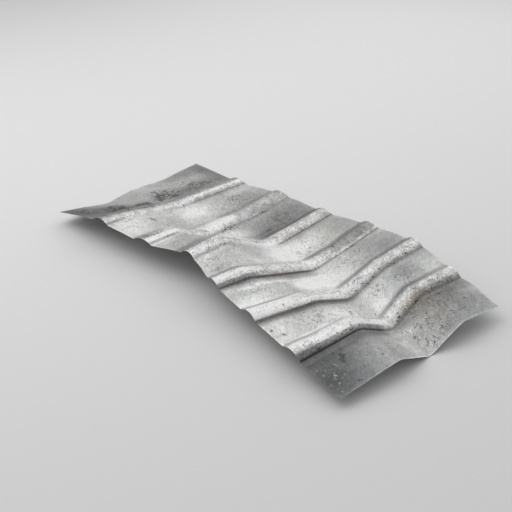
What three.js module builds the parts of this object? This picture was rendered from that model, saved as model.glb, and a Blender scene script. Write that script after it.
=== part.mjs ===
// Ribbed galvanised steel sheet, buckled by rough handling.
//
// Millimetres, +Z up. X runs across the ribs and Y along them. The origin lies on the floor, under the middle
// of the sheet. The sheet is described twice: flat, as it left the rolls ("across" and "along" are distances
// on the flat sheet), and bent, by eight lines that run along it.
import * as THREE from 'three';

// ---- The sheet as rolled ----
const gauge = 0.7;         // thickness of the steel
const sheetLength = 560;   // along the ribs
const ribCount = 6;
const ribPitch = 170;      // from one rib centre to the next
const ribWidth = 70;       // foot to foot
const ribHeight = 12;      // crown above the pan
const footRadius = 8;      // the fillet where a rib meets the pan
const leftFlat = 160;      // plain metal outside the first rib
const rightFlat = 125;     // plain metal outside the last rib

// ---- The sheet as bent ----
const ribBendReach = 12;   // on a rib, a bend is rounded this far to both sides of its line
const panBendReach = 42;   // and this far midway between two ribs
const nearGather = 0.055;  // share by which the buckles draw the near edge together
const farGather = -0.005;  // the same at the far edge, which is pulled straight

// The eight lines: the two ends of the sheet, and the six rib centres between them. setBack is how far the
// near end of a line lies behind the corner, shift moves its near and far ends sideways, near and far are the
// heights of its ends, and each bend is [share of the way along the line, height].
const lines = [
  { setBack: 0, shift: [0, -15], near: 35, bends: [[0.33, 0], [0.50, 10], [0.74, 0]], far: 10 },     // left
  { setBack: 20, shift: [5, -15], near: 70, bends: [[0.18, 60], [0.51, 20], [0.72, 15]], far: 5 },   // rib 1
  { setBack: 45, shift: [15, -5], near: 65, bends: [[0.19, 60], [0.35, 15], [0.72, 5]], far: 20 },   // rib 2
  { setBack: 75, shift: [20, -5], near: 85, bends: [[0.20, 90], [0.55, 0], [0.72, 5]], far: 15 },    // rib 3
  { setBack: 50, shift: [-10, 20], near: 70, bends: [[0.15, 70], [0.58, 5], [0.79, 25]], far: 55 },  // rib 4
  { setBack: 35, shift: [-20, 25], near: 55, bends: [[0.33, 40], [0.54, 5], [0.76, 55]], far: 80 },  // rib 5
  { setBack: 15, shift: [-10, 5], near: 45, bends: [[0.32, 55], [0.55, 0], [0.73, 65]], far: 70 },   // rib 6
  { setBack: 0, shift: [5, -10], near: 25, bends: [[0.34, 40], [0.54, 0], [0.76, 50]], far: 35 },    // right
];

// ---- How finely the surface is cut into facets ----
const crownSteps = 6;      // across the crown of a rib
const footSteps = 2;       // across each foot fillet
const panSteps = 4;        // across a pan
const leftSteps = 5;       // across the left flat
const rightSteps = 4;      // across the right flat
const bendSteps = 4;       // along the rounded stretch of a bend

const sheetWidth = leftFlat + (ribCount - 1) * ribPitch + ribWidth + rightFlat;

// The section of a rib is a crown arc that runs into two foot fillets. Both arcs turn through flankAngle.
const halfRib = ribWidth / 2;
const flankAngle = 2 * Math.atan(ribHeight / halfRib);
const crownRadius = halfRib / Math.sin(flankAngle) - footRadius;
const crownHalf = crownRadius * Math.sin(flankAngle);

function ribCentre(index) {
  return leftFlat + halfRib + index * ribPitch;
}

// Height of the rolled section above the pan, at a distance across the flat sheet.
function sectionHeight(across) {
  const nearest = Math.round((across - ribCentre(0)) / ribPitch);
  const index = THREE.MathUtils.clamp(nearest, 0, ribCount - 1);
  const offset = Math.abs(across - ribCentre(index));
  if (offset >= halfRib) return 0;
  if (offset > crownHalf) {
    return footRadius - Math.sqrt(footRadius ** 2 - (halfRib - offset) ** 2);
  }
  return ribHeight - crownRadius + Math.sqrt(crownRadius ** 2 - offset ** 2);
}

// Evenly spaced values from start to end, without start.
function steps(start, end, count) {
  return Array.from({ length: count }, (_, i) => THREE.MathUtils.lerp(start, end, (i + 1) / count));
}

// Where the columns of facets lie across the flat sheet: close together on the ribs, wide on the pans.
function columnPlaces() {
  const places = [0];
  for (let i = 0; i < ribCount; i++) {
    const centre = ribCentre(i);
    const foot = centre - halfRib;
    places.push(...steps(places.at(-1), foot, i === 0 ? leftSteps : panSteps));
    places.push(...steps(foot, centre - crownHalf, footSteps));
    places.push(...steps(centre - crownHalf, centre + crownHalf, crownSteps));
    places.push(...steps(centre + crownHalf, centre + halfRib, footSteps));
  }
  places.push(...steps(places.at(-1), sheetWidth, rightSteps));
  return places;
}

// Where the rows of facets lie along a line: at its ends, halfway along each straight, and round each bend.
function rowPlaces(bendPlaces, reach) {
  const places = [0];
  for (const bend of bendPlaces) {
    places.push(...steps(places.at(-1), bend - reach, 2));
    places.push(...steps(bend - reach, bend + reach, bendSteps));
  }
  places.push(...steps(places.at(-1), sheetLength, 2));
  return places;
}

// A smooth curve through values given at knots: a cubic between each two knots, with a slope at each knot
// that weighs the straight slopes on its two sides.
function smoothThrough(knots, values, x) {
  const last = knots.length - 1;
  const gap = (i) => knots[i + 1] - knots[i];
  const straight = (i) => (values[i + 1] - values[i]) / gap(i);
  const inner = (i) => (straight(i - 1) * gap(i) + straight(i) * gap(i - 1)) / (gap(i - 1) + gap(i));
  const slope = (i) => {
    if (i === 0) return 1.5 * straight(0) - 0.5 * inner(1);
    if (i === last) return 1.5 * straight(last - 1) - 0.5 * inner(last - 1);
    return inner(i);
  };
  let i = 0;
  while (i < last - 1 && x > knots[i + 1]) i++;
  const t = (x - knots[i]) / gap(i);
  const s = 1 - t;
  return s * s * (1 + 2 * t) * values[i] + t * t * (1 + 2 * s) * values[i + 1]
    + s * t * gap(i) * (s * slope(i) - t * slope(i + 1));
}

const lineKnots = lines.map((_, i) => {
  if (i === 0) return 0;
  if (i === lines.length - 1) return sheetWidth;
  return ribCentre(i - 1);
});

// One value of the lines, read at any distance across the sheet.
function acrossLines(valueOf, across) {
  return smoothThrough(lineKnots, lines.map(valueOf), across);
}

// The number of the first line at or past a distance across the sheet.
function nextLine(across) {
  return Math.max(1, lineKnots.findIndex((knot) => knot >= across));
}

// How far along the sheet a bend crosses it. It meets every rib square, and slants only on the pans between.
function bendPlace(bend, across) {
  const next = nextLine(across);
  const ease = THREE.MathUtils.smoothstep(across, lineKnots[next - 1], lineKnots[next]);
  return sheetLength * THREE.MathUtils.lerp(lines[next - 1].bends[bend][0], lines[next].bends[bend][0], ease);
}

// How far to both sides of its line a bend is rounded: a stiff rib kinks, and the thin pan beside it rolls
// over softly. The ends of the sheet kink too.
function bendReach(across) {
  const next = nextLine(across);
  const share = (across - lineKnots[next - 1]) / (lineKnots[next] - lineKnots[next - 1]);
  return THREE.MathUtils.lerp(ribBendReach, panBendReach, Math.sin(Math.PI * share) ** 4);
}

// Height of a bent line: straight between its bends, and a parabola that touches both straights round each.
function bentHeight(along, places, heights, reach) {
  const slope = (i) => (heights[i + 1] - heights[i]) / (places[i + 1] - places[i]);
  let height = heights[0] + slope(0) * along;
  for (let i = 1; i < places.length - 1; i++) {
    const past = along - places[i];
    const turn = slope(i) - slope(i - 1);
    if (past > reach) height += turn * past;
    else if (past > -reach) height += turn * (past + reach) ** 2 / (4 * reach);
  }
  return height;
}

// The points of one line of the bent pan surface, at a distance across the sheet. Each step along the line
// keeps its length, so what it climbs shortens it in plan.
function bentLine(across) {
  const reach = bendReach(across);
  const bendPlaces = [0, 1, 2].map((bend) => bendPlace(bend, across));
  const bendHeights = [0, 1, 2].map((bend) => acrossLines((line) => line.bends[bend][1], across));
  const places = [0, ...bendPlaces, sheetLength];
  const heights = [
    acrossLines((line) => line.near, across),
    ...bendHeights,
    acrossLines((line) => line.far, across),
  ];
  const nearShift = acrossLines((line) => line.shift[0], across);
  const farShift = acrossLines((line) => line.shift[1], across);
  const fromMiddle = across - sheetWidth / 2;
  const nearX = fromMiddle * (1 - nearGather) + nearShift;
  const farX = fromMiddle * (1 - farGather) + farShift;

  let y = acrossLines((line) => line.setBack, across);
  let previous = null;
  return rowPlaces(bendPlaces, reach).map((along) => {
    const z = bentHeight(along, places, heights, reach);
    if (previous) y += Math.sqrt((along - previous.along) ** 2 - (z - previous.z) ** 2);
    previous = { along, z };
    return new THREE.Vector3(THREE.MathUtils.lerp(nearX, farX, along / sheetLength), y, z);
  });
}

// Two triangles for each cell of a grid whose points are numbered column by column.
function gridIndex(columns, rows) {
  const index = [];
  for (let c = 0; c < columns - 1; c++) {
    for (let r = 0; r < rows - 1; r++) {
      const corner = c * rows + r;
      const beside = corner + rows;
      index.push(corner, beside, beside + 1, corner, beside + 1, corner + 1);
    }
  }
  return index;
}

function surfaceFrom(points, index) {
  const surface = new THREE.BufferGeometry().setFromPoints(points);
  surface.setIndex(index);
  surface.computeVertexNormals();
  return surface;
}

// Each point of a surface moved along its normal, by a distance given for each point.
function movedAlongNormals(surface, distanceOf) {
  const position = surface.getAttribute('position');
  const normal = surface.getAttribute('normal');
  return Array.from({ length: position.count }, (_, i) => {
    const direction = new THREE.Vector3().fromBufferAttribute(normal, i);
    return new THREE.Vector3().fromBufferAttribute(position, i).addScaledVector(direction, distanceOf(i));
  });
}

// The numbers of the points round the edge of the grid, anticlockwise seen from above.
function edgeLoop(columns, rows) {
  const loop = [];
  for (let c = 0; c < columns - 1; c++) loop.push(c * rows);
  for (let r = 0; r < rows - 1; r++) loop.push((columns - 1) * rows + r);
  for (let c = columns - 1; c > 0; c--) loop.push(c * rows + rows - 1);
  for (let r = rows - 1; r > 0; r--) loop.push(r);
  return loop;
}

// The sheet as one closed body: an upper and a lower face half a gauge from the middle surface, and the cut
// edge that joins them.
function makeSheet() {
  const columnsAt = columnPlaces();
  const bentLines = columnsAt.map(bentLine);
  const columns = bentLines.length;
  const rows = bentLines[0].length;
  const index = gridIndex(columns, rows);

  const panSurface = surfaceFrom(bentLines.flat(), index);
  const rolled = movedAlongNormals(panSurface, (i) => sectionHeight(columnsAt[Math.floor(i / rows)]));
  const middle = surfaceFrom(rolled, index);
  const upper = movedAlongNormals(middle, () => gauge / 2);
  const lower = movedAlongNormals(middle, () => -gauge / 2);

  const count = upper.length;
  const faces = [...index];
  for (let i = 0; i < index.length; i += 3) {
    faces.push(index[i] + count, index[i + 2] + count, index[i + 1] + count);
  }
  const loop = edgeLoop(columns, rows);
  loop.forEach((from, i) => {
    const to = loop[(i + 1) % loop.length];
    faces.push(from, from + count, to + count, from, to + count, to);
  });

  const solid = surfaceFrom([...upper, ...lower], faces);
  solid.computeBoundingBox();
  const middleOfBox = solid.boundingBox.getCenter(new THREE.Vector3());
  solid.translate(-middleOfBox.x, -middleOfBox.y, -solid.boundingBox.min.z);
  return solid;
}

const galvanisedSteel = new THREE.MeshStandardMaterial({ color: 0xb4b6b5, roughness: 0.42, metalness: 0.85 });

const sheet = new THREE.Mesh(makeSheet(), galvanisedSteel);
sheet.name = 'ribbed_sheet';

const ribbedSteelSheet = new THREE.Group();
ribbedSteelSheet.add(sheet);

export default ribbedSteelSheet;
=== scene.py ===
"""A ribbed galvanised steel sheet, buckled by rough handling, lying on a pale floor.

The sheet is worked out twice: flat, as it left the rolls ("across" and "along" are distances on the flat
sheet), and bent, by eight lines that run along it. Sheet sizes are in millimetres until they reach a mesh.
"""

import math

import bpy
import numpy as np
from mathutils import Euler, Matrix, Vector


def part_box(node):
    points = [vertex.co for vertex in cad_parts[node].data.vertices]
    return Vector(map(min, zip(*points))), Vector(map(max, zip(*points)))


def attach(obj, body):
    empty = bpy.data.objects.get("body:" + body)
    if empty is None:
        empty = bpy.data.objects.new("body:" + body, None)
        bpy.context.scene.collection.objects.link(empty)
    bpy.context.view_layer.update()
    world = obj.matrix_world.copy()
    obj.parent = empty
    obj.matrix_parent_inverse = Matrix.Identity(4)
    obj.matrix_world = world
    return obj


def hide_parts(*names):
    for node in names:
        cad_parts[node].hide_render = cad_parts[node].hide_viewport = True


MM = 0.001  # one millimetre in metres

# ---- The sheet as rolled ----
GAUGE = 0.7          # thickness of the steel
SHEET_LENGTH = 560   # along the ribs
RIB_COUNT = 6
RIB_PITCH = 170      # from one rib centre to the next
RIB_WIDTH = 70       # foot to foot
RIB_HEIGHT = 12      # crown above the pan
FOOT_RADIUS = 8      # the fillet where a rib meets the pan
LEFT_FLAT = 160      # plain metal outside the first rib
RIGHT_FLAT = 125     # plain metal outside the last rib
SHEET_WIDTH = LEFT_FLAT + (RIB_COUNT - 1) * RIB_PITCH + RIB_WIDTH + RIGHT_FLAT

# ---- The sheet as bent ----
RIB_BEND_REACH = 12  # on a rib, a bend is rounded this far to both sides of its line
PAN_BEND_REACH = 42  # and this far midway between two ribs
SHADE_REACH = 90     # the light plays over the bends as if all were rounded this far
NEAR_GATHER = 0.055  # share by which the buckles draw the near edge together
FAR_GATHER = -0.005  # the same at the far edge, which is pulled straight

# The eight lines, from the left end over the six rib centres to the right end: how far the near end of a line
# lies behind the corner, the sideways shift of its near and far ends, the heights of its near and far ends,
# and for each of its three bends the share of the way along and the height.
LINES = np.array([
    [0, 0, -15, 35, 10, 0.33, 0, 0.50, 10, 0.74, 0],
    [20, 5, -15, 70, 5, 0.18, 60, 0.51, 20, 0.72, 15],
    [45, 15, -5, 65, 20, 0.19, 60, 0.35, 15, 0.72, 5],
    [75, 20, -5, 85, 15, 0.20, 90, 0.55, 0, 0.72, 5],
    [50, -10, 20, 70, 55, 0.15, 70, 0.58, 5, 0.79, 25],
    [35, -20, 25, 55, 80, 0.33, 40, 0.54, 5, 0.76, 55],
    [15, -10, 5, 45, 70, 0.32, 55, 0.55, 0, 0.73, 65],
    [0, 5, -10, 25, 35, 0.34, 40, 0.54, 0, 0.76, 50],
], float)
SET_BACK, NEAR_SHIFT, FAR_SHIFT, NEAR_HEIGHT, FAR_HEIGHT = LINES[:, :5].T
BEND_SHARES, BEND_HEIGHTS = LINES[:, 5::2].T, LINES[:, 6::2].T

# Slight waves in the steel: length of a wave, direction in degrees from across, height and start.
RIPPLES = np.array([
    [210, 75, 0.50, 0.4],
    [150, 20, 0.35, 2.1],
    [115, 120, 0.28, 4.0],
    [83, 55, 0.18, 1.2],
    [61, 160, 0.12, 5.1],
    [47, 100, 0.08, 3.3],
])
RIB_RIPPLE = 0.25    # the share of the waves' height that is left on a rib

# The section of a rib is a crown arc that runs into two foot fillets. Both arcs turn through FLANK_ANGLE.
HALF_RIB = RIB_WIDTH / 2
FLANK_ANGLE = 2 * math.atan(RIB_HEIGHT / HALF_RIB)
CROWN_RADIUS = HALF_RIB / math.sin(FLANK_ANGLE) - FOOT_RADIUS
CROWN_HALF = CROWN_RADIUS * math.sin(FLANK_ANGLE)
RIPPLE_START = 0.6 * HALF_RIB   # from a rib's centre to where the slight waves begin to grow
RIPPLE_GROWTH = 0.8 * HALF_RIB  # the way over which they grow to their full height
RIB_CENTRES = LEFT_FLAT + HALF_RIB + RIB_PITCH * np.arange(RIB_COUNT)
LINE_KNOTS = np.concatenate([[0], RIB_CENTRES, [SHEET_WIDTH]])

# ---- How finely the surface is cut into facets ----
CROWN_STEPS = 20
FOOT_STEPS = 4
PAN_STEPS = 16
LEFT_STEPS = 30
RIGHT_STEPS = 22
ROW_STEPS = 160


def from_rib(across):
    """Distance of each place from the centre of the nearest rib."""
    return np.abs(across[..., None] - RIB_CENTRES).min(-1)


def section_height(across):
    """Height of the rolled section above the pan: an arc on the crown, a fillet at each foot, and zero on the
    pans."""
    offset = from_rib(across)
    crown = RIB_HEIGHT - CROWN_RADIUS + np.sqrt(np.maximum(CROWN_RADIUS**2 - offset**2, 0))
    foot = FOOT_RADIUS - np.sqrt(np.maximum(FOOT_RADIUS**2 - (HALF_RIB - offset) ** 2, 0))
    return np.where(offset > HALF_RIB, 0, np.where(offset > CROWN_HALF, foot, crown))


def smooth_through(values, x):
    """The values of the eight lines read at x: a cubic between each two lines, with a slope at each line that
    weighs the straight slopes on its two sides. An end line's slope is one and a half times the straight
    slope beside it, less half the slope of the line next to it."""
    gap = np.diff(LINE_KNOTS)
    straight = np.diff(values) / gap
    inner = (straight[:-1] * gap[1:] + straight[1:] * gap[:-1]) / (gap[:-1] + gap[1:])
    first = 1.5 * straight[0] - 0.5 * inner[0]
    last = 1.5 * straight[-1] - 0.5 * inner[-1]
    slope = np.concatenate([[first], inner, [last]])
    i, t = between_lines(x)
    s = 1 - t
    level = s**2 * (1 + 2 * t) * values[i] + t**2 * (1 + 2 * s) * values[i + 1]
    return level + s * t * gap[i] * (s * slope[i] - t * slope[i + 1])


def between_lines(x):
    """The number of the line on the left of each place, and the share of the way to the next line."""
    i = np.clip(np.searchsorted(LINE_KNOTS, x) - 1, 0, len(LINE_KNOTS) - 2)
    return i, (x - LINE_KNOTS[i]) / (LINE_KNOTS[i + 1] - LINE_KNOTS[i])


def eased(share):
    """A smooth step from 0 to 1: three times the square of the share less twice its cube."""
    share = np.clip(share, 0, 1)
    return share * share * (3 - 2 * share)


def bend_place(shares, x):
    """How far along the sheet a bend crosses it: an eased step from its share of the way on one line to its
    share on the next, so that it meets every rib square and slants only on the pans."""
    i, t = between_lines(x)
    ease = eased(t)
    return SHEET_LENGTH * (shares[i] * (1 - ease) + shares[i + 1] * ease)


def bend_reach(x):
    """How far to both sides of its line a bend is rounded: little on the stiff ribs and at the ends of the
    sheet, and more on the pans, by the fourth power of the sine of the share of the way between two lines."""
    share = between_lines(x)[1]
    return RIB_BEND_REACH + (PAN_BEND_REACH - RIB_BEND_REACH) * np.sin(np.pi * share) ** 4


def bent_height(along, places, heights, reach):
    """Height of the bent lines, one to a row: straight between bends, and a parabola that touches both
    straights round each bend."""
    slope = np.diff(heights) / np.diff(places)
    height = heights[:, :1] + slope[:, :1] * along
    for i in range(1, places.shape[1] - 1):
        past = along - places[:, i : i + 1]
        rounded = np.clip(past + reach, 0, 2 * reach) ** 2 / (4 * reach)
        turn = (slope[:, i] - slope[:, i - 1])[:, None]
        height += turn * np.where(past > reach, past, rounded)
    return height


def pan_surface(across, along, reach):
    """The bent sheet without its ribs, as a grid of points. Each step along a line keeps its length, so what
    it climbs shortens it in plan, and the buckles draw the lines together across the sheet."""
    bends = [bend_place(shares, across) for shares in BEND_SHARES]
    places = np.stack([np.zeros_like(across), *bends, np.full_like(across, SHEET_LENGTH)], 1)
    rows = [NEAR_HEIGHT, *BEND_HEIGHTS, FAR_HEIGHT]
    heights = np.stack([smooth_through(row, across) for row in rows], 1)
    z = bent_height(along, places, heights, reach[:, None])
    walked = np.sqrt(np.diff(along) ** 2 - np.diff(z, axis=1) ** 2).cumsum(1)
    y = smooth_through(SET_BACK, across)[:, None] + np.pad(walked, ((0, 0), (1, 0)))
    from_middle = across - SHEET_WIDTH / 2
    near_x = from_middle * (1 - NEAR_GATHER) + smooth_through(NEAR_SHIFT, across)
    far_x = from_middle * (1 - FAR_GATHER) + smooth_through(FAR_SHIFT, across)
    x = near_x[:, None] + (far_x - near_x)[:, None] * along / SHEET_LENGTH
    return np.stack([x, y, z], -1)


def grid_normals(points, across, along):
    """Upward unit normals of a grid of points, from its slopes in both directions."""
    side = np.gradient(points, across, axis=0)
    forward = np.gradient(points, along, axis=1)
    normal = np.cross(side, forward)
    return normal / np.linalg.norm(normal, axis=-1, keepdims=True)


def column_places():
    """Where the columns of facets lie across the sheet: close together on the ribs, wider on the pans."""
    stops, counts = [0.0], []
    for i, centre in enumerate(RIB_CENTRES):
        stops += [centre - HALF_RIB, centre - CROWN_HALF, centre + CROWN_HALF, centre + HALF_RIB]
        counts += [LEFT_STEPS if i == 0 else PAN_STEPS, FOOT_STEPS, CROWN_STEPS, FOOT_STEPS]
    stops.append(SHEET_WIDTH)
    counts.append(RIGHT_STEPS)
    pieces = [np.linspace(a, b, n + 1)[1:] for a, b, n in zip(stops, stops[1:], counts)]
    return np.concatenate([[0.0], *pieces])


def ripple(across, along):
    """Height of the slight waves in the steel: a sum of sines, each with its own length and direction, which
    fade on the stiff ribs."""
    length, heading, height, start = RIPPLES.T
    turn = np.radians(heading)
    way = across[:, None, None] * np.cos(turn) + along[None, :, None] * np.sin(turn)
    waves = (height * np.sin(2 * np.pi * way / length + start)).sum(-1)
    pan_share = np.clip((from_rib(across) - RIPPLE_START) / RIPPLE_GROWTH, RIB_RIPPLE, 1)
    return waves * pan_share[:, None]


def middle_surface(across, along, reach):
    """The sheet half way through its steel, with its ribs and slight waves raised along the pan's normals: a
    grid of points, and the points' normals."""
    pan = pan_surface(across, along, reach)
    raised = section_height(across)[:, None] + ripple(across, along)
    points = pan + grid_normals(pan, across, along) * raised[..., None]
    return points, grid_normals(points, across, along)


# ---- Weather, painted shade and painted highlights on the sheet ----
# Soft oval patches, from left to right: across, along, half width, half length, and a grade in quarters,
# above 0 where the zinc is lighter. They hold dirt, and also painted shade where the sheet turns from the
# lamps and painted highlights on the pans.
PATCHES_OF_DIRT_AND_PAINTED_LIGHT = np.array([
    [15, 300, 40, 25, 0.25],
    [20, 480, 40, 70, -0.50],
    [60, 545, 90, 35, -0.75],
    [70, 20, 110, 75, -1.25],  # the darker left corner
    [100, 320, 25, 40, -0.25],
    [130, 110, 50, 45, -1.00],
    [140, 420, 35, 190, -0.75],  # a dark run of dirt beside the first rib
    [160, 165, 26, 50, -1.00],
    [242, 110, 18, 110, 0.25],
    [245, 530, 20, 60, 0.25],
    [265, 295, 42, 55, 0.50],
    [275, 35, 55, 65, 0.50],
    [300, 490, 45, 70, -0.25],
    [313, 440, 14, 80, -0.25],
    [355, 300, 25, 55, 0.25],
    [410, 30, 25, 40, 0.25],
    [425, 255, 22, 40, 0.50],
    [440, 535, 40, 40, -0.25],
    [450, 300, 25, 25, 0.50],
    [455, 450, 58, 120, -0.75],
    [488, 355, 20, 45, -0.50],
    [540, 160, 30, 60, -0.25],
    [575, 25, 35, 40, 0.25],
    [600, 340, 40, 40, 0.25],
    [620, 410, 30, 60, 0.25],
    [620, 520, 60, 50, -0.25],
    [625, 300, 62, 80, 0.50],
    [653, 185, 20, 30, 0.25],
    [690, 360, 16, 50, -0.50],
    [700, 320, 30, 40, 0.25],
    [705, 490, 25, 90, -0.25],
    [715, 30, 25, 60, 0.25],
    [716, 285, 14, 16, -0.50],
    [756, 20, 12, 30, 0.75],
    [800, 305, 60, 75, 0.50],
    [808, 225, 25, 30, 0.75],
    [810, 500, 62, 62, -0.50],
    [830, 40, 28, 70, 0.50],
    [889, 158, 8, 16, -0.25],
    [925, 530, 16, 40, -0.25],
    [943, 340, 30, 30, 0.25],
    [955, 30, 40, 40, 0.25],
    [960, 455, 48, 38, -0.50],
    [985, 200, 40, 65, 0.50],
    [992, 340, 24, 26, 0.50],
    [1027, 430, 14, 50, -0.50],
    [1030, 255, 10, 40, -0.25],
    [1048, 350, 14, 60, 0.25],
    [1050, 142, 12, 25, -0.25],
    [1062, 120, 12, 140, 0.75],
    [1105, 325, 22, 28, 0.25],
    [1105, 470, 24, 70, -0.25],
    [1110, 130, 26, 110, -0.50],
    [1125, 430, 70, 95, -0.50],
    [1150, 275, 60, 35, 0.25],
    [1155, 20, 75, 100, -1.50],  # the darker near corner: painted shade where it turns from the lamps
    [1165, 215, 50, 100, -0.25],
    [1165, 510, 50, 60, -0.25],
    [1190, 400, 20, 60, -0.25],
])
# Strips along the ribs, darker or lighter: from and to across, how far each of these two sides fades, from
# and to along, and a grade in quarters. The dark lines at the feet and the dark bands right of the ribs are
# painted shade, partly dirt, and the light bands on the crowns are painted highlights, partly wear. What
# begins on a rib's near half comes first.
STRIPS_OF_DIRT_AND_PAINTED_LIGHT = np.array([
    # The first rib, and the pans beside it.
    [160, 198, 8, 8, -60, 60, -0.50],
    [160, 205, 8, 7, 60, 230, -0.50],
    [199, 210, 5, 4, -60, 180, -0.25],
    [221, 228, 3, 3, -60, 60, -0.50],
    [165, 197, 8, 7, 230, 620, -0.50],
    [200, 212, 5, 5, 330, 620, 0.25],
    [211, 230, 6, 6, 330, 620, -0.25],
    [219, 225, 3, 3, 330, 620, -0.50],
    [219, 225, 3, 4, 220, 330, -0.25],
    # The second rib, and the pans beside it.
    [330, 370, 8, 8, -60, 60, -0.50],
    [374, 387, 4, 3, -60, 110, 0.50],
    [389, 397, 3, 3, -60, 110, -0.50],
    [393, 403, 2, 6, -60, 120, 0.25],
    [324, 331, 3, 4, 330, 620, -0.50],
    [331, 346, 4, 8, 330, 620, -0.25],
    [350, 386, 6, 6, 240, 350, 0.25],
    [352, 390, 8, 4, 360, 620, -0.25],
    [394, 402, 4, 5, 210, 620, -0.25],
    # The third rib, and the pans beside it.
    [480, 524, 8, 10, -60, 100, -0.50],
    [518, 545, 8, 6, 100, 200, 0.50],
    [540, 555, 6, 4, -60, 50, 0.75],
    [552, 566, 5, 5, 100, 325, 0.50],
    [559, 565, 3, 3, -60, 50, -0.25],
    [566, 574, 4, 5, -60, 130, -0.25],
    [570, 588, 6, 8, 45, 115, 0.25],
    [480, 498, 8, 4, 325, 620, -0.25],
    [499, 521, 3, 4, 330, 620, -0.75],
    [552, 576, 8, 10, 330, 620, -0.25],
    [562, 566, 2, 3, 330, 620, -0.75],
    # The fourth rib, and the pans beside it.
    [674, 693, 5, 6, -60, 110, -0.50],
    [697, 714, 5, 6, -60, 110, 0.25],
    [724, 733, 4, 3, -60, 120, -0.75],
    [734, 763, 4, 24, -60, 310, -0.75],
    [735, 741, 2, 4, -60, 310, -1.00],
    [750, 776, 10, 10, 45, 200, 0.50],
    [668, 692, 4, 6, 440, 620, -0.50],
    [674, 700, 6, 6, 320, 440, -0.25],
    [690, 726, 8, 5, 400, 620, -0.50],
    [730, 734, 2, 2, 380, 540, 0.25],
    [734, 739, 2, 4, 300, 620, -0.50],
    # The fifth rib, and the pans beside it.
    [843, 860, 5, 4, -60, 130, -0.25],
    [856, 868, 6, 6, 120, 270, 0.25],
    [862, 884, 6, 8, -60, 120, 0.50],
    [888, 900, 6, 4, -60, 270, 0.50],
    [904, 920, 4, 28, -60, 300, -1.25],
    [905, 935, 6, 30, 90, 260, -0.25],
    [907, 914, 3, 4, -60, 300, -0.25],
    [840, 866, 5, 4, 310, 620, -0.50],
    [900, 918, 4, 10, 300, 620, -0.25],
    [906, 910, 2, 3, 300, 620, -0.50],
    # The sixth rib, and the pans beside it.
    [985, 1012, 8, 4, -60, 60, 0.25],
    [1006, 1022, 5, 4, 50, 150, 0.50],
    [1027, 1036, 4, 4, -60, 45, 0.50],
    [1027, 1050, 8, 8, -60, 200, 0.25],
    [1037, 1047, 4, 5, 45, 150, 0.25],
    [1057, 1064, 3, 3, -60, 100, -0.50],
    [1061, 1100, 5, 30, -60, 275, -1.00],
    [1073, 1078, 2, 3, -60, 275, -1.25],
    [1085, 1095, 4, 3, -60, 130, 0.50],
    [1006, 1030, 4, 5, 330, 620, -0.25],
    [1060, 1070, 4, 4, 440, 620, -0.25],
    [1069, 1100, 6, 40, 300, 620, -0.50],
])
# Slight tints: across, along, half width, half length, and how strongly the patch takes red, green and blue.
TINTS = np.array([
    [125, 420, 32, 75, -0.03, 0.03, -0.01],
    [545, 385, 18, 42, 0.03, -0.02, -0.01],
    [600, 480, 30, 50, 0.01, 0.01, -0.04],
    [738, 190, 10, 30, 0.08, -0.02, -0.06],
    [790, 64, 30, 25, -0.02, 0.02, 0.00],
    [825, 490, 24, 40, -0.03, 0.01, 0.02],
    [915, 140, 12, 110, 0.03, 0.00, -0.04],
    [975, 515, 22, 25, -0.02, 0.03, 0.00],
    [980, 400, 22, 38, -0.03, 0.00, 0.03],
    [1072, 400, 13, 60, 0.05, -0.01, -0.12],  # rust on the shoulder of the last rib
    [1090, 50, 8, 60, 0.03, 0.00, -0.04],
    [1120, 425, 35, 55, 0.03, 0.00, -0.05],
    [1160, 60, 75, 75, -0.04, 0.02, 0.03],
    [1195, 480, 45, 90, -0.03, 0.01, 0.02],
])
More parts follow.
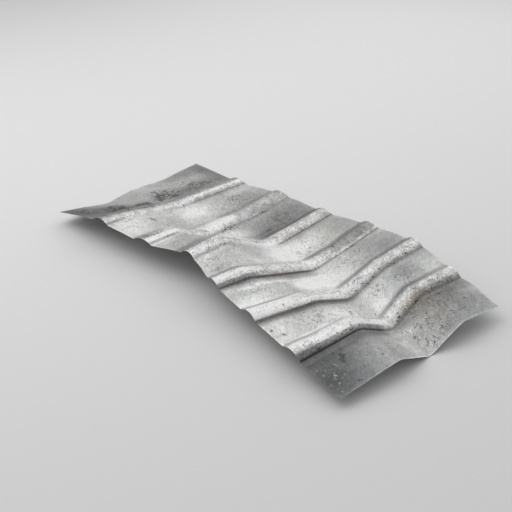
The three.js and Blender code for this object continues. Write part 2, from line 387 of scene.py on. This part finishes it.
# Single marks, by direction and slimness: degrees from across, and length over width. In each row: across,
# along, half length and strength. The slimmest are long scratches in the pan before the last rib.
DARK_MARKS = {
    (-60, 2.5): [
        [88, 338, 11, 0.90], [107, 356, 12, 0.90], [1069, 457, 6, 0.95],
    ],
    (-60, 4): [
        [1150, 243, 8, 0.55],
    ],
    (-45, 30): [
        [968, 236, 40, 0.35], [985, 262, 34, 0.30], [1000, 222, 60, 0.45],
    ],
    (-30, 2.5): [
        [91, 120, 15, 0.95], [128, 138, 22, 1.00], [1127, 375, 4, 0.50], [1141, 524, 6, 0.60],
        [1167, 433, 5, 0.85], [1187, 339, 6, 0.60],
    ],
    (-30, 4): [
        [122, 286, 30, 1.00], [140, 97, 26, 0.65], [165, 212, 36, 0.80], [178, 112, 36, 0.85],
        [402, 272, 8, 0.65], [405, 312, 9, 0.75], [412, 258, 7, 0.55], [414, 106, 17, 0.60],
        [949, 362, 8, 0.50], [980, 243, 12, 0.60],
    ],
    (0, 1): [
        [70, 307, 9, 1.00], [76, 428, 8, 0.55], [107, 434, 11, 0.75], [125, 365, 8, 0.65],
        [138, 196, 14, 0.95], [140, 222, 16, 0.90], [141, 335, 14, 1.00], [300, 512, 4, 0.50],
        [309, 147, 6, 0.80], [404, 299, 5, 0.75], [409, 322, 4, 0.65], [413, 283, 4, 0.60],
        [507, 344, 9, 0.60], [702, 419, 6, 0.80], [757, 102, 4, 0.50], [843, 541, 5, 0.50],
        [956, 12, 6, 0.70], [1123, 88, 5, 0.70], [1125, 453, 3, 0.55],
    ],
    (0, 2.5): [
        [108, 291, 11, 0.90], [271, 130, 11, 0.85], [1115, 475, 5, 0.50], [1144, 84, 6, 0.50],
        [1168, 169, 6, 0.55],
    ],
    (30, 2.5): [
        [356, 19, 14, 0.60], [660, 46, 6, 0.55], [904, 389, 6, 0.90], [983, 30, 7, 0.75],
        [1138, 500, 7, 0.80], [1173, 328, 4, 0.60],
    ],
    (30, 4): [
        [933, 363, 9, 0.50],
    ],
    (60, 2.5): [
        [134, 482, 14, 0.75], [397, 327, 7, 0.70], [737, 462, 6, 0.90], [899, 413, 5, 1.00],
        [901, 506, 4, 0.85], [905, 365, 5, 0.80], [908, 457, 5, 0.85], [1048, 36, 5, 0.60],
        [1067, 499, 4, 0.60], [1091, 458, 8, 0.80], [1124, 348, 4, 0.60], [1125, 372, 5, 0.75],
        [1128, 354, 5, 0.55], [1139, 365, 5, 0.60], [1149, 373, 6, 0.50], [1159, 432, 5, 0.85],
        [1167, 465, 6, 0.50], [1176, 166, 4, 0.55],
    ],
    (60, 4): [
        [400, 453, 11, 0.90], [566, 109, 9, 0.60], [576, 132, 14, 0.60], [1067, 329, 6, 0.70],
        [1192, 73, 12, 0.50],
    ],
    (90, 2.5): [
        [258, 125, 10, 0.65], [1030, 358, 6, 0.55], [1054, 109, 5, 0.50], [1064, 493, 5, 0.90],
        [1065, 147, 5, 0.60], [1068, 78, 4, 0.70], [1074, 47, 5, 0.60],
    ],
    (90, 4): [
        [147, 316, 14, 0.70], [390, 305, 8, 0.50], [396, 309, 10, 0.80], [396, 389, 7, 0.50],
        [397, 287, 9, 0.80], [397, 418, 7, 0.45], [400, 251, 8, 0.50], [483, 375, 15, 0.80],
        [549, 250, 17, 0.60], [563, 91, 9, 0.55], [1066, 342, 6, 0.75], [1068, 158, 7, 0.85],
        [1070, 60, 8, 0.85], [1070, 434, 8, 0.90], [1076, 397, 9, 0.90], [1133, 328, 8, 0.50],
    ],
}
PALE_MARKS = {
    (0, 1): [
        [1085, 380, 2.0, 0.30], [1105, 40, 1.5, 0.25], [1118, 14, 2.0, 0.30], [1127, 30, 1.6, 0.30],
        [1136, 16, 2.2, 0.35], [1142, 60, 1.6, 0.30], [1150, 38, 3.0, 0.50], [1154, 41, 1.8, 0.40],
        [1160, 57, 2.0, 0.30], [1162, 186, 1.8, 0.30], [1166, 12, 1.8, 0.30], [1166, 520, 2.0, 0.30],
        [1172, 31, 2.2, 0.35], [1175, 512, 4.0, 0.30], [1176, 172, 2.5, 0.35], [1177, 27, 1.5, 0.30],
        [1182, 504, 2.0, 0.30], [1184, 44, 1.6, 0.30], [1190, 160, 1.8, 0.30], [1192, 20, 2.0, 0.30],
    ],
    (20, 4): [
        [1128, 60, 7, 0.25], [1150, 166, 8, 0.30], [1156, 34, 5, 0.35], [1168, 188, 7, 0.25],
    ],
}
# Where marks of each kind gather: across, along, half width, half length, and how thickly.
STAINED = np.array([
    [70, 40, 60, 30, 0.5],
    [105, 318, 34, 34, 0.75],
    [125, 285, 24, 16, 0.6],
    [125, 440, 40, 60, 0.4],
    [130, 115, 50, 24, 0.7],
    [160, 205, 30, 26, 0.7],
    [267, 128, 12, 10, 0.7],
    [275, 450, 22, 30, 0.4],
    [465, 440, 30, 70, 0.25],
    [655, 40, 12, 14, 0.4],
    [880, 350, 10, 20, 0.4],
    [1120, 88, 12, 14, 0.6],
])
PITTED = np.array([
    [300, 420, 40, 60, 0.25],
    [397, 290, 7, 110, 0.9],
    [550, 60, 12, 60, 0.3],
    [610, 460, 40, 60, 0.25],
    [722, 380, 14, 60, 0.3],
    [885, 440, 16, 120, 0.5],
    [900, 330, 6, 230, 1.0],
    [905, 110, 6, 90, 0.6],
    [1050, 420, 16, 120, 0.4],
    [1056, 60, 14, 80, 0.9],
    [1070, 120, 8, 60, 0.6],
    [1070, 430, 7, 70, 1.0],
    [1150, 60, 60, 60, 0.3],
])
FLECKED = np.array([
    [30, 500, 60, 50, 0.3],
    [450, 540, 40, 30, 0.4],
    [455, 370, 30, 40, 0.4],
    [580, 60, 30, 50, 0.6],
    [640, 60, 50, 50, 0.4],
    [810, 60, 50, 50, 0.3],
    [1120, 60, 40, 50, 0.5],
    [1140, 160, 50, 30, 0.9],
    [1150, 350, 45, 45, 0.5],
    [1160, 35, 40, 32, 1.0],
    [1178, 512, 20, 24, 1.0],
    [1185, 170, 30, 30, 0.6],
])
SCRIBBLED = np.array([
    [60, 440, 70, 90, 0.5],
    [250, 60, 50, 60, 0.4],
    [290, 440, 60, 80, 0.7],
    [460, 420, 40, 80, 0.7],
    [610, 50, 60, 60, 0.7],
    [640, 400, 40, 60, 0.8],
    [770, 90, 50, 60, 0.8],
    [790, 420, 50, 45, 0.9],
    [940, 360, 30, 30, 0.9],
    [960, 130, 45, 40, 0.8],
    [965, 225, 40, 60, 0.8],
    [980, 440, 40, 40, 0.8],
    [1110, 440, 50, 60, 0.6],
    [1145, 350, 50, 45, 1.2],
])
RUSTED = np.array([
    [150, 500, 8, 50, 0.4],
    [738, 150, 6, 12, 1.0],
    [1064, 425, 9, 36, 1.0],
    [1066, 372, 8, 24, 0.8],
    [1085, 420, 30, 40, 0.35],
    [1120, 86, 10, 9, 0.5],
    [1130, 420, 40, 50, 0.3],
])
GATHERINGS = {
    "stained": STAINED, "pitted": PITTED, "flecked": FLECKED, "scribbled": SCRIBBLED, "rusted": RUSTED,
}

UPPER_ZINC = (0.550, 0.550, 0.543)  # the colour of the zinc where no patch lies
LOWER_ZINC = (0.42, 0.42, 0.415)    # and on the underside
STRIP_END_FADE = 60                 # how far each end of a strip fades
CROWN_WEAR_AND_HIGHLIGHT = 0.10                   # how much lighter the crowns and right shoulders are painted: partly wear, partly a painted highlight
CROWN_BAND_FROM = 22                      # the lighter band begins this far to the left of a crown's middle
CROWN_BAND_FADE_IN = 12                   # grows to full over this way
CROWN_BAND_FADE_OUT = 9                   # and ends over this way, at the right foot
EDGE_WEAR_AND_HIGHLIGHT = 0.22                    # how much lighter the cut edges are painted: partly wear, partly a painted edge highlight
EDGE_REACH = 3                      # and how far in
# Darkening on the underside along the feet of each rib: how far to the right of its middle, how wide, how
# strongly.
FOOT_DARKENING = [(-HALF_RIB, 5, 0.35), (HALF_RIB - 6, 5.5, 0.65)]

# The unwrapped picture of the sheet, in shares of its side. The upper face lies at the bottom, the lower face
# above it, and the four sides of the cut edge lie above both as thin strips.
MARGIN = 0.004        # between the parts
FACE_HEIGHT = 0.478
LOWER_FACE = 0.484    # from the foot of the upper face to the foot of the lower face
FIRST_STRIP = 0.970
STRIP_STEP = 0.007
STRIP_HEIGHT = 0.004
SHARP_ANGLE = 50      # degrees: an edge that turns further than this is shaded sharp
FACES_APART = 1000    # the patterns of the two faces are read this far apart, so that they differ


def oval_patches(across, along, patches):
    """The sum of soft oval patches, each its strength times exp(-(x / half width)^2 - (y / half length)^2).
    Where the patches have several strengths each, so has the sum."""
    x = (across[:, None, None] - patches[:, 0]) / patches[:, 2]
    y = (along[None, :, None] - patches[:, 1]) / patches[:, 3]
    return np.exp(-(x**2) - y**2) @ patches[:, 4:]


def long_strips(across, along, strips):
    """The sum of strips that run along the sheet, each its strength times four eased steps: two soft sides
    and two softer ends."""
    start, end, fade_in, fade_out, near, far, strength = strips.T
    x, y = across[:, None, None], along[None, :, None]
    inside = eased((x - start) / fade_in + 0.5) * eased((end - x) / fade_out + 0.5)
    span = eased((y - near) / STRIP_END_FADE + 0.5) * eased((far - y) / STRIP_END_FADE + 0.5)
    return (strength * inside * span).sum(-1)


def past_rib(across):
    """How far each place lies to the right of the centre of the nearest rib."""
    return across - RIB_CENTRES[np.abs(across[:, None] - RIB_CENTRES).argmin(1)]


def on_crown(across):
    """1 on the crowns and the right shoulders of the ribs and 0 elsewhere, with a smooth step between."""
    past = past_rib(across)
    return eased((past + CROWN_BAND_FROM) / CROWN_BAND_FADE_IN) * eased((HALF_RIB - past) / CROWN_BAND_FADE_OUT)


def near_edge(across, along):
    """1 at the cut edges of the sheet, falling as a bell curve to 0 within a few millimetres."""
    from_sides = np.minimum(across, SHEET_WIDTH - across)[:, None]
    from_ends = np.minimum(along, SHEET_LENGTH - along)
    return np.exp(-((np.minimum(from_sides, from_ends) / EDGE_REACH) ** 2))


def foot_darkening(across):
    """The darkening along the feet of the ribs, as two bell curves: a thin line at each left foot and a
    heavier one at each right foot."""
    past = past_rib(across)
    return sum(thick * np.exp(-(((past - middle) / width) ** 2)) for middle, width, thick in FOOT_DARKENING)


def sheet_faces(columns, rows):
    """Quads of the upper face, the lower face turned over, and the cut edge that joins them. The points of
    both faces are numbered column by column, the lower ones after the upper ones."""
    count = columns * rows
    number = np.arange(count).reshape(columns, rows)
    corners = [number[:-1, :-1], number[1:, :-1], number[1:, 1:], number[:-1, 1:]]
    upper = np.stack([c.ravel() for c in corners], 1)
    lower = upper[:, ::-1] + count
    loop = np.concatenate([number[:, 0], number[-1, 1:], number[-2::-1, -1], number[0, -2:0:-1]])
    after = np.roll(loop, -1)
    edge = np.stack([loop, loop + count, after + count, after], 1)
    return upper, lower, edge


def unwrapped(flat, upper, lower, edge):
    """Places of the faces' corners in the unwrapped picture: a face's are its place on the flat sheet, and an
    edge's are how far it lies along its own side."""
    across_share = MARGIN + (1 - 2 * MARGIN) * flat[:, 0] / SHEET_WIDTH
    along_share = FACE_HEIGHT * flat[:, 1] / SHEET_LENGTH
    plan = np.stack([across_share, MARGIN + along_share], 1)
    upper_places = plan[upper]
    lower_places = plan[lower] + (0, LOWER_FACE)
    start, end = flat[edge[:, 0]], flat[edge[:, 3]]
    runs_across = np.abs(end[:, 0] - start[:, 0]) > np.abs(end[:, 1] - start[:, 1])
    side = np.where(runs_across, start[:, 1] > 0, 2 + (start[:, 0] > 0))
    strip = FIRST_STRIP + STRIP_STEP * side
    axis = np.where(runs_across, 0, 1)
    longest = np.array([SHEET_WIDTH, SHEET_LENGTH])[axis]
    rows = np.arange(len(edge))
    from_share = flat[edge[:, 0]][rows, axis] / longest
    to_share = flat[edge[:, 3]][rows, axis] / longest
    u = MARGIN + (1 - 2 * MARGIN) * np.stack([from_share, from_share, to_share, to_share], 1)
    v = strip[:, None] + STRIP_HEIGHT * np.array([1, 0, 0, 1])
    return np.concatenate([upper_places, lower_places, np.stack([u, v], -1)])


def add_values(mesh, name, kind, key, values):
    """Give each point of the mesh a value of its own, which the steel reads by its name."""
    mesh.attributes.new(name, kind, "POINT").data.foreach_set(key, values.astype(np.float32).ravel())


def zinc_and_painted_light_colours(across, along):
    """The colour of the zinc on both faces. The upper is the plain colour times e to the sum of the lighter
    crown and edge bands, the strips, the patches and the tints, which hold painted shade and painted
    highlights beside dirt and abrasion, and the lower is its own colour times e to minus the darkening along
    the feet."""
    # The crown and edge bands and the strips hold painted highlights and painted shade as well as dirt and
    # wear.
    wear_and_painted_light = CROWN_WEAR_AND_HIGHLIGHT * on_crown(across)[:, None, None] + long_strips(across, along, STRIPS_OF_DIRT_AND_PAINTED_LIGHT)[..., None]
    wear_and_painted_light = wear_and_painted_light + EDGE_WEAR_AND_HIGHLIGHT * near_edge(across, along)[..., None]
    weather_and_painted_light = oval_patches(across, along, PATCHES_OF_DIRT_AND_PAINTED_LIGHT) + wear_and_painted_light
    upper = UPPER_ZINC * np.exp(weather_and_painted_light + oval_patches(across, along, TINTS))
    lower = LOWER_ZINC * np.exp(-foot_darkening(across)[:, None, None])
    return np.stack([upper, np.broadcast_to(lower, upper.shape)])


def add_weather_and_painted_light(mesh, across, along):
    """What the steel reads from each point: its place on the flat sheet, the colour of the zinc there,
    painted shade and painted highlights included, whether it lies on a crown, and how thickly the marks of
    each kind gather there, on the upper face alone."""
    sides = np.ones((2, len(across), len(along)))
    apart = sides * np.array([0, FACES_APART])[:, None, None]
    flat = np.stack([sides * across[:, None], sides * along, apart], -1).reshape(-1, 3)
    add_values(mesh, "flat", "FLOAT_VECTOR", "vector", flat * MM)
    # The zinc colour holds the painted shade and painted highlights of the patches, strips and bands.
    opaque = np.pad(zinc_and_painted_light_colours(across, along), [(0, 0)] * 3 + [(0, 1)])
    add_values(mesh, "zinc", "FLOAT_COLOR", "color", opaque)
    add_values(mesh, "crown", "FLOAT", "value", sides * on_crown(across)[:, None])
    for name, patches in GATHERINGS.items():
        thickness = oval_patches(across, along, patches)[..., 0]
        add_values(mesh, name, "FLOAT", "value", np.stack([thickness, np.zeros_like(thickness)]))
    return flat


def make_sheet(box):
    """The sheet as one closed mesh that fills the CAD box. Its two faces lie half the gauge to each side of
    the middle surface, along its normals. Light falls on them as on the softer surface of SHADE_REACH."""
    across = column_places()
    along = np.linspace(0, SHEET_LENGTH, ROW_STEPS + 1)
    middle, normal = middle_surface(across, along, bend_reach(across))
    shade = middle_surface(across, along, np.full_like(across, SHADE_REACH))[1].reshape(-1, 3)
    upper = middle + normal * GAUGE / 2
    lower = middle - normal * GAUGE / 2
    points = np.concatenate([upper.reshape(-1, 3), lower.reshape(-1, 3)])
    low, high = points.min(0), points.max(0)
    share = (points - low) / (high - low)
    box_low, box_high = np.array(box[0]), np.array(box[1])
    upper_faces, lower_faces, edge_faces = sheet_faces(len(across), len(along))
    faces = np.concatenate([upper_faces, lower_faces, edge_faces])
    mesh = bpy.data.meshes.new("ribbed_sheet_skin")
    mesh.from_pydata((box_low + share * (box_high - box_low)).tolist(), [], faces.tolist())
    mesh.polygons.foreach_set("use_smooth", np.ones(len(faces), bool))
    corner_normals = np.concatenate([shade, -shade])[faces.ravel()]
    corner_normals[-4 * len(edge_faces) :] = 0  # the cut edge keeps the normals of its own faces
    mesh.set_sharp_from_angle(angle=math.radians(SHARP_ANGLE))
    mesh.normals_split_custom_set(corner_normals.tolist())

    flat = add_weather_and_painted_light(mesh, across, along)
    places = unwrapped(flat, upper_faces, lower_faces, edge_faces)
    mesh.uv_layers.new(name="OFBake").uv.foreach_set("vector", places.astype(np.float32).ravel())
    piece = bpy.data.objects.new("ribbed_sheet_skin", mesh)
    bpy.context.scene.collection.objects.link(piece)
    return piece


# ---- Steel ----
BRIGHTEST = (0.86, 0.86, 0.86)       # no zinc is paler than this
COOL_TINT = (0.986, 1.0, 1.012, 1)   # the zinc's hue wanders between this
WARM_TINT = (1.014, 1.0, 0.984, 1)   # and this
RUST_COLOUR = (0.33, 0.26, 0.20, 1)
MARK_COLOUR = (0.045, 0.045, 0.045, 1)
FLECK_COLOUR = (0.72, 0.77, 0.78, 1)
PATTERN_TURN = 40                    # degrees, by which some patterns are turned from the ribs
RELIEF = 0.4 * MM                    # how deep the patterns are raised and sunk
LOW, HIGH = 0.3, 0.7                 # nearly all of a noise lies between these


class Recipe:
    """The nodes of one material. Each method adds its nodes and gives what comes out of the last."""

    def __init__(self, name):
        self.material = bpy.data.materials.new(name)
        self.material.use_nodes = True
        self.tree = self.material.node_tree
        self.shader = self.tree.nodes["Principled BSDF"]

    def node(self, kind, inputs, **settings):
        node = self.tree.nodes.new(kind)
        for name, value in settings.items():
            setattr(node, name, value)
        for name, value in inputs.items():
            self.give(node.inputs[name], value)
        return node

    def give(self, socket, value):
        if isinstance(value, bpy.types.NodeSocket):
            self.tree.links.new(value, socket)
        else:
            socket.default_value = value

    def attribute(self, name, output="Fac"):
        return self.node("ShaderNodeAttribute", {}, attribute_name=name).outputs[output]

    def math(self, operation, first, second=0.0):
        return self.node("ShaderNodeMath", {0: first, 1: second}, operation=operation).outputs[0]

    def vector(self, operation, *values):
        node = self.node("ShaderNodeVectorMath", dict(enumerate(values)), operation=operation)
        return node.outputs["Vector"]

    def chained(self, operation, values):
        result = values[0]
        for value in values[1:]:
            result = self.math(operation, result, value)
        return result

    def product(self, *values):
        return self.chained("MULTIPLY", values)

    def strongest(self, *values):
        return self.chained("MAXIMUM", values)

    def spread(self, value, low, high, to_low=0.0, to_high=1.0):
        """The value's way from low to high, eased at both ends, as a number from to_low to to_high."""
        inputs = {"Value": value, "From Min": low, "From Max": high, "To Min": to_low, "To Max": to_high}
        return self.node("ShaderNodeMapRange", inputs, interpolation_type="SMOOTHSTEP").outputs["Result"]

    def varied(self, noise, amount):
        """A factor that goes from 1 less the amount to 1 and the amount as the noise rises."""
        return self.spread(noise, LOW, HIGH, 1 - amount, 1 + amount)

    def factor(self, share, full):
        """A factor that goes from 1 where the share is 0 to its full value where the share is 1."""
        return self.spread(share, 0.0, 1.0, 1.0, full)

    def scaled(self, place, factors, turn=0.0):
        """The place, turned by so many degrees about the sheet's upright and stretched by the factors."""
        inputs = {"Vector": place, "Scale": factors, "Rotation": (0, 0, math.radians(turn))}
        return self.node("ShaderNodeMapping", inputs).outputs["Vector"]

    def moved(self, place, way):
        return self.vector("ADD", place, Vector(way) * MM)

    def noise(self, place, scale, detail=2.0, roughness=0.5, distortion=0.0, output="Fac"):
        inputs = {"Vector": place, "Scale": scale, "Detail": detail, "Roughness": roughness}
        inputs["Distortion"] = distortion
        return self.node("ShaderNodeTexNoise", inputs).outputs[output]

    def stirred(self, place, scale, reach):
        """The place, pushed about by a noise to about a quarter of the reach to every side."""
        push = self.noise(place, scale, 2.0, output="Color")
        pushed = self.vector("MULTIPLY_ADD", push, (reach, reach, 0), place)
        return self.vector("SUBTRACT", pushed, (reach / 2, reach / 2, 0))

    def ovals(self, place, marks):
        """The strongest of soft-edged ovals. Those of one direction and slimness are circles in a place that
        is turned back by that direction and stretched by that slimness."""
        result = 0.0
        for (turn, slimness), rows in marks.items():
            angle = math.radians(turn)
            inputs = {"Vector": place, "Rotation": (0, 0, angle), "Scale": (1, 1 / slimness, 1)}
            stretched = self.node("ShaderNodeMapping", inputs, vector_type="TEXTURE").outputs["Vector"]
            cos, sin = math.cos(angle), math.sin(angle)
            for across, along, reach, strength in rows:
                middle = (cos * across + sin * along, slimness * (cos * along - sin * across), 0)
                inputs = {0: stretched, 1: Vector(middle) * MM}
                distance = self.node("ShaderNodeVectorMath", inputs, operation="DISTANCE").outputs["Value"]
                oval = self.spread(distance, 0.2 * reach * MM, 1.7 * reach * MM, strength, 0.0)
                result = self.math("MAXIMUM", result, oval)
        return result

    def thin_lines(self, noise, full, gone):
        """1 where the noise is near its middle value, which it is along thin winding lines, and 0 elsewhere:
        the step is eased from the distance that is full to the distance that is gone."""
        from_middle = self.math("ABSOLUTE", self.math("SUBTRACT", noise, 0.5))
        return self.spread(from_middle, full, gone, 1.0, 0.0)

    def dots(self, place, scale, reach, share):
        """Round dots, one in some of the cells of a net: reach is a dot's radius in cells, and share is how
        many of the cells have one."""
        cells = self.node("ShaderNodeTexVoronoi", {"Vector": place, "Scale": scale})
        near = self.spread(cells.outputs["Distance"], 0.6 * reach, reach, 1.0, 0.0)
        drawn = self.node("ShaderNodeSeparateColor", {"Color": cells.outputs["Color"]}).outputs["Red"]
        return self.math("MULTIPLY", near, self.math("LESS_THAN", drawn, share))

    def tinted(self, colour, level, tint):
        """The colour times a level and a tint, held under the brightest that zinc has."""
        inputs = {0: colour, "Scale": level}
        scaled = self.node("ShaderNodeVectorMath", inputs, operation="SCALE").outputs["Vector"]
        return self.vector("MINIMUM", self.vector("MULTIPLY", scaled, tint), BRIGHTEST)

    def mixed(self, share, first, second):
        node = self.node("ShaderNodeMix", {}, data_type="RGBA")
        self.give(node.inputs[0], share)
        self.give(node.inputs[6], first)
        self.give(node.inputs[7], second)
        return node.outputs[2]


def make_steel():
    """Weathered galvanised steel. The zinc's colour, which already holds painted shade and painted
    highlights, is varied by clouds, smears, streaks and a fine grain, by dark dust on the pans with a paler
    copy beside each grain that is a painted highlight, and by a mottling and painted glints on the crowns.
    Stains, scribbled marks with a painted highlight as a pale rim beside each, pits, rust and pale flecks
    come on top, each where its own patches lie, and then the single marks."""
    steel = Recipe("galvanised steel")
    flat = steel.attribute("flat", "Vector")
    crown = steel.attribute("crown")
    turned = steel.scaled(flat, (1, 1, 1), PATTERN_TURN)

    # The zinc: factors of its colour.
    clouds = steel.varied(steel.noise(flat, 13, 3), 0.06)
    smears = steel.varied(steel.noise(flat, 42, 4, 0.6, 1.0), 0.09)
    streaks = steel.varied(steel.noise(steel.scaled(flat, (90, 9, 1)), 1, 3, 0.6), 0.04)
    brushed = steel.varied(steel.noise(steel.scaled(turned, (30, 210, 1)), 1, 3, 0.6), 0.08)
    grain = steel.noise(flat, 260, 2, 0.6)
    grains = steel.varied(grain, 0.11)
    gathered = steel.spread(steel.noise(flat, 24, 3), 0.42, 0.62, 0.25, 1.0)

    def powder(place):
        """The peaks of a fine noise, thick where they are gathered."""
        return steel.product(steel.spread(steel.noise(place, 170, 3, 0.65), 0.54, 0.68), gathered)

    dust = powder(turned)
    # A paler copy of the dust, moved 2.2 mm to the side: a painted highlight beside each grain.
    dust_highlight = steel.factor(powder(steel.moved(turned, (2.2, 0, 0))), 1.32)

    uneven = steel.product(steel.noise(flat, 28, 2), 0.5)
    speckle = steel.math("ADD", steel.noise(flat, 135, 4, 0.7, 0.4), uneven)
    mottled = steel.product(steel.spread(speckle, 0.76, 0.90), crown)
    mottling = steel.factor(mottled, 0.64)
    # Pale specks on the crowns: painted glints.
    glint_noise = steel.math("ADD", steel.noise(turned, 150, 4, 0.7), steel.product(steel.noise(flat, 40, 2), 0.5))
    crown_glints = steel.spread(steel.product(glint_noise, crown), 0.70, 0.86, 1.0, 1.44)
    dusting = steel.factor(dust, 0.64)
    variation = steel.product(clouds, smears, streaks, brushed, grains, dusting, dust_highlight, mottling, crown_glints)
    hue = steel.spread(steel.noise(turned, 65, 3), 0.35, 0.65)
    tint = steel.mixed(hue, COOL_TINT, WARM_TINT)

    # Stains: loops and blots.
    stirred = steel.stirred(flat, 60, 0.010)
    loops = steel.thin_lines(steel.noise(stirred, 55, 2, 0.6), 0.012, 0.050)
    blots = steel.spread(steel.noise(stirred, 70, 4, 0.65), 0.46, 0.60)
    stain_pattern = steel.strongest(loops, blots)
    stained = steel.math("ADD", steel.attribute("stained"), stain_pattern)
    stains = steel.product(steel.spread(stained, 0.85, 1.60), 0.85)

    # Scribbled marks: dark curls with a pale rim beside each, the rim a painted highlight.
    def curled(place):
        return steel.thin_lines(steel.noise(place, 85, 1, 0.5, 0.8), 0.03, 0.10)

    curls = curled(stirred)
    rim_highlights = curled(steel.moved(stirred, (3, 3, 0)))
    scribbled = steel.spread(steel.math("ADD", steel.attribute("scribbled"), 0.25), 0.0, 1.0)
    broken = steel.product(steel.spread(steel.noise(flat, 65, 2), 0.48, 0.58), scribbled)
    scribbles = steel.product(curls, broken, 0.55)
    # The rims lighten the zinc beside each curl: a painted highlight.
    raised = steel.factor(steel.product(rim_highlights, broken), 1.35)
    level = steel.product(variation, raised)
    # The zinc colour read here holds the painted shade and painted highlights of the patches, strips and
    # bands.
    zinc = steel.tinted(steel.attribute("zinc", "Color"), level, tint)

    # Pits, and the single dark marks.
    pitted = steel.math("ADD", steel.product(steel.attribute("pitted"), 0.55), 0.02)
    rough_place = steel.stirred(flat, 240, 0.004)
    pits = steel.product(steel.dots(rough_place, 135, 0.30, pitted), 0.85)
    strokes = steel.ovals(steel.stirred(flat, 110, 0.012), DARK_MARKS)
    breaks = steel.spread(steel.noise(flat, 230, 3, 0.6), 0.35, 0.65, 0.2, 1.8)
    strokes = steel.spread(steel.product(strokes, breaks), 0.35, 0.70, 0.0, 0.9)

    # Rust and pale flecks.
    rusted = steel.product(steel.attribute("rusted"), 0.5)
    rust = steel.spread(steel.math("ADD", steel.noise(flat, 170, 4, 0.7), rusted), 0.85, 1.15, 0.0, 0.50)
    flecked = steel.product(steel.attribute("flecked"), 0.08)
    fleck_pattern = steel.math("ADD", steel.noise(turned, 170, 3, 0.65), flecked)
    flecks = steel.product(steel.spread(fleck_pattern, 0.66, 0.78), 0.35)
    flecks = steel.strongest(flecks, steel.ovals(rough_place, PALE_MARKS))

    # Zinc under rust, under the dark marks, under the flecks.
    marks = steel.strongest(stains, scribbles, pits, strokes)
    rusty = steel.mixed(rust, zinc, RUST_COLOUR)
    marked = steel.mixed(marks, rusty, MARK_COLOUR)
    steel.give(steel.shader.inputs["Base Color"], steel.mixed(flecks, marked, FLECK_COLOUR))

    # Dirt is rougher than zinc, and hardly metal.
    dirt = steel.strongest(marks, rust)
    rough = steel.spread(steel.noise(flat, 35, 4, 0.6), LOW, HIGH, 0.46, 0.58)
    steel.give(steel.shader.inputs["Roughness"], steel.math("ADD", rough, steel.product(dirt, 0.3)))
    steel.give(steel.shader.inputs["Metallic"], steel.spread(dirt, 0.0, 1.0, 0.75, 0.2))
    relief = steel.math("ADD", steel.product(smears, 1.5), steel.product(grain, 0.8))
    sunk = steel.math("ADD", steel.product(scribbles, 1.6), steel.product(pits, 0.8))
    height = steel.math("SUBTRACT", steel.math("SUBTRACT", relief, mottled), sunk)
    bump = steel.node("ShaderNodeBump", {"Height": height, "Strength": 0.35, "Distance": RELIEF})
    steel.give(steel.shader.inputs["Normal"], bump.outputs["Normal"])
    return steel.material


# ---- Room, light and camera ----
LENS = 62.2                            # millimetres
SENSOR = 36                            # millimetres
CAMERA_PLACE = (1.572, -1.427, 1.238)
CAMERA_TURN = (59.9, 0, 48.23)         # degrees
LAMP_SIZE = 3.2                        # each softbox is a square with sides of this length
LAMPS = [                              # each with its place and power, and turned to the sheet
    ("left softbox", (-1.59, -0.92, 2.62), 45),
    ("back softbox", (-1.31, 2.27, 1.84), 17),
    ("top softbox", (0, 1.84, 2.62), 15),
]
WORLD_COLOUR = (0.42, 0.42, 0.42, 1)
FLOOR_HALF = 20                        # from the middle of the floor to its edges
FLOOR_COLOUR = (0.78, 0.78, 0.78, 1)
FLOOR_ROUGHNESS = 0.9


def make_lamp(name, place, power):
    """A square softbox that faces the middle of the sheet."""
    data = bpy.data.lights.new(name, "AREA")
    data.size = LAMP_SIZE
    data.energy = power
    lamp = bpy.data.objects.new(name, data)
    lamp.location = place
    lamp.rotation_euler = (-Vector(place)).to_track_quat("-Z", "Y").to_euler()
    bpy.context.scene.collection.objects.link(lamp)


def make_world():
    """Even grey light from all sides."""
    world = bpy.data.worlds.new("studio")
    world.use_nodes = True
    world.node_tree.nodes["Background"].inputs["Color"].default_value = WORLD_COLOUR
    bpy.context.scene.world = world


def make_floor():
    """A plain pale floor: one large square at height 0."""
    mesh = bpy.data.meshes.new("floor")
    signs = [(-1, -1), (1, -1), (1, 1), (-1, 1)]
    mesh.from_pydata([(x * FLOOR_HALF, y * FLOOR_HALF, 0) for x, y in signs], [], [(0, 1, 2, 3)])
    floor = bpy.data.objects.new("floor", mesh)
    bpy.context.scene.collection.objects.link(floor)
    material = bpy.data.materials.new("pale floor")
    material.use_nodes = True
    shader = material.node_tree.nodes["Principled BSDF"]
    shader.inputs["Base Color"].default_value = FLOOR_COLOUR
    shader.inputs["Roughness"].default_value = FLOOR_ROUGHNESS
    mesh.materials.append(material)


def make_camera():
    """A camera that looks down on the sheet."""
    data = bpy.data.cameras.new("camera")
    data.sensor_width = SENSOR
    data.lens = LENS
    camera = bpy.data.objects.new("camera", data)
    camera.location = CAMERA_PLACE
    camera.rotation_euler = Euler([math.radians(a) for a in CAMERA_TURN])
    bpy.context.scene.collection.objects.link(camera)
    bpy.context.scene.camera = camera


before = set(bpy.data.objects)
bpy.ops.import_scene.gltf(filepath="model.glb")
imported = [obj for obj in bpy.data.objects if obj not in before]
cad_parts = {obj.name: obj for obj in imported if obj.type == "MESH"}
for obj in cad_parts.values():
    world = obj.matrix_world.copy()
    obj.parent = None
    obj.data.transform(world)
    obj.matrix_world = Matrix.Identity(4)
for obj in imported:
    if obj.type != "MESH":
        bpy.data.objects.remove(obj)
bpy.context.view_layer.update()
sheet = make_sheet(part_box("ribbed_sheet"))
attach(sheet, "root")
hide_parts("ribbed_sheet")
sheet.data.materials.append(make_steel())
make_floor()
make_world()
for name, place, power in LAMPS:
    make_lamp(name, place, power)
make_camera()
bpy.context.scene.view_settings.view_transform = "Standard"
